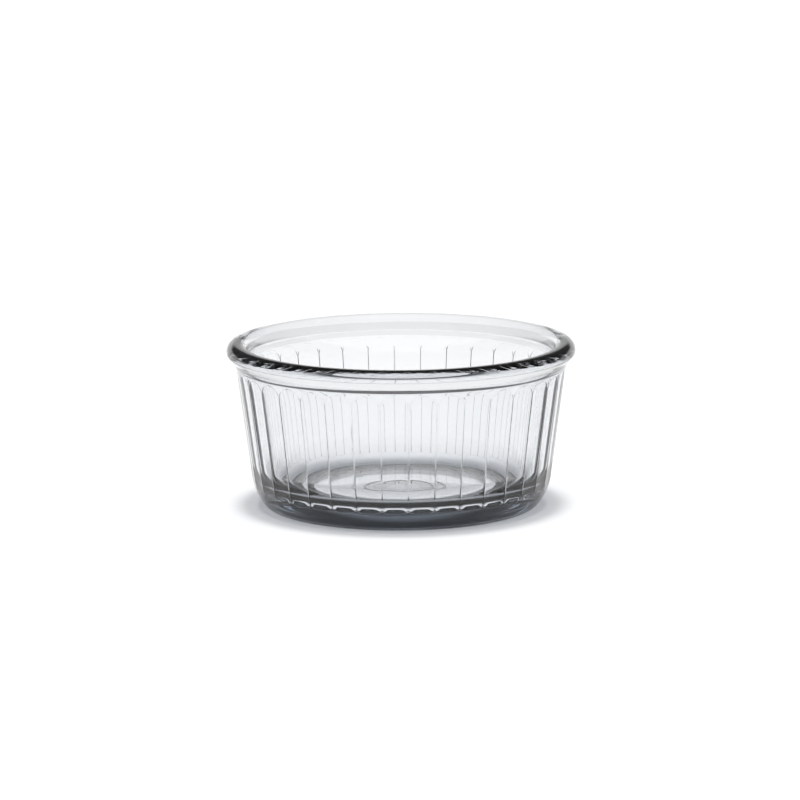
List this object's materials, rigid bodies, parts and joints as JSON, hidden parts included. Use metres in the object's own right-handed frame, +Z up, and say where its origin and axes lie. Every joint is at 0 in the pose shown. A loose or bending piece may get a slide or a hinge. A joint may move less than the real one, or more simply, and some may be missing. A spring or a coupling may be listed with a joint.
{
  "type": "ramekin",
  "caption": "Round one-piece ramekin of clear pressed glass with a rolled rim, a leaning fluted wall and a flat foot ring.",
  "frame": {"origin": "on the resting plane, under the centre of the round foot", "axes": "+Z points up out of the bowl along the axis of turning; the front of the picture is -Y"},
  "size_m": [0.1, 0.1, 0.0475],
  "materials": {
    "clear_glass": "clear pressed glass, fire-polished and smooth"
  },
  "bodies": {
    "root": {"ramekin_dish": "clear_glass"}
  },
  "joints": []
}
